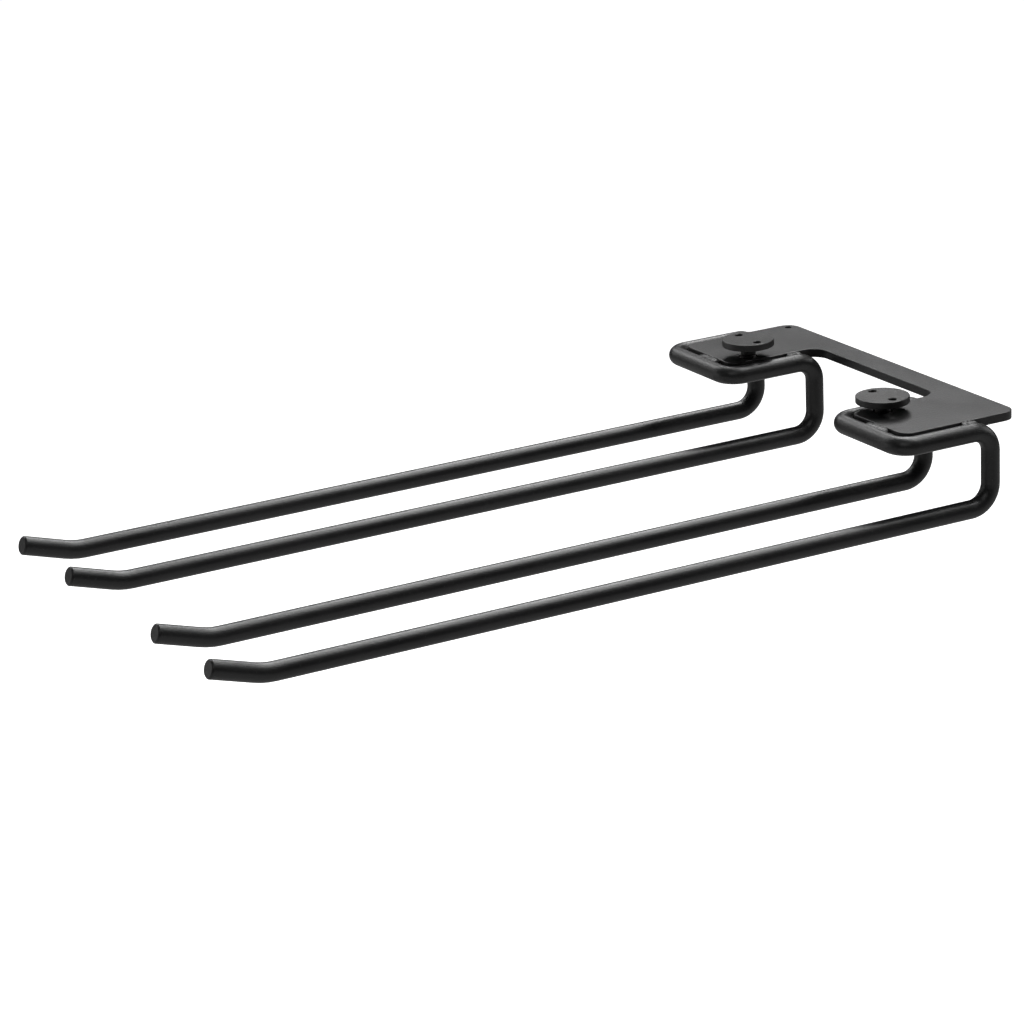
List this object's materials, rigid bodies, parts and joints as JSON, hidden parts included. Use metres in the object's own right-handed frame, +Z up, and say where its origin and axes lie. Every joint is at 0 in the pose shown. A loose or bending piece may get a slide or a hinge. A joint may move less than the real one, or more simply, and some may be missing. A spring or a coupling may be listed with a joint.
{
  "type": "under-shelf stemware rack",
  "caption": "Under-shelf hanging rack: bent round rods form lanes that hold stemmed glasses by their feet, welded to a flat plate with clamp screws.",
  "frame": {"origin": "on the mounting plate's top face, at the middle of its back bar", "axes": "+Z up, towards the shelf; +X right, seen from the front; +Y to the back, so the rail tips point along -Y"},
  "size_m": [0.1464, 0.2978, 0.0389],
  "materials": {
    "frame_coat": "fine-texture satin black powder coat",
    "weld_coat": "black powder coat over rippled weld beads",
    "disc_coat": "satin black powder coat, slightly smoother than the frame",
    "stud_steel": "black-oxide steel with a rolled thread, lightly oiled"
  },
  "bodies": {
    "rack": {"mounting_plate": "frame_coat", "rail_left": "frame_coat", "stud_bush_left": "frame_coat", "weld_left_outer": "weld_coat", "weld_left_inner": "weld_coat", "weld_left_front": "weld_coat", "rail_right": "frame_coat", "stud_bush_right": "frame_coat", "weld_right_outer": "weld_coat", "weld_right_inner": "weld_coat", "weld_right_front": "weld_coat"},
    "stud_left": {"clamp_stud_left": "stud_steel"},
    "disc_left": {"clamp_disc_left": "disc_coat"},
    "stud_right": {"clamp_stud_right": "stud_steel"},
    "disc_right": {"clamp_disc_right": "disc_coat"}
  },
  "joints": [
    {"name": "travel_left", "type": "slide", "parent": "rack", "child": "stud_left", "axis": [0, 0, 1], "range_m": [-0.00395, 0.00185]},
    {"name": "turn_left", "type": "hinge", "parent": "stud_left", "child": "disc_left", "pos_m": [-0.0405, -0.0304, 0.00415], "axis": [0, 0, 1], "range_deg": [-1422, 666]},
    {"name": "travel_right", "type": "slide", "parent": "rack", "child": "stud_right", "axis": [0, 0, 1], "range_m": [-0.00275, 0.00305]},
    {"name": "turn_right", "type": "hinge", "parent": "stud_right", "child": "disc_right", "pos_m": [0.0405, -0.0304, 0.00295], "axis": [0, 0, 1], "range_deg": [-990, 1098]}
  ],
  "couplings": [
    {"joint": "travel_left", "follows": "turn_left", "m_per_rad": 0.00015915},
    {"joint": "travel_right", "follows": "turn_right", "m_per_rad": 0.00015915}
  ]
}
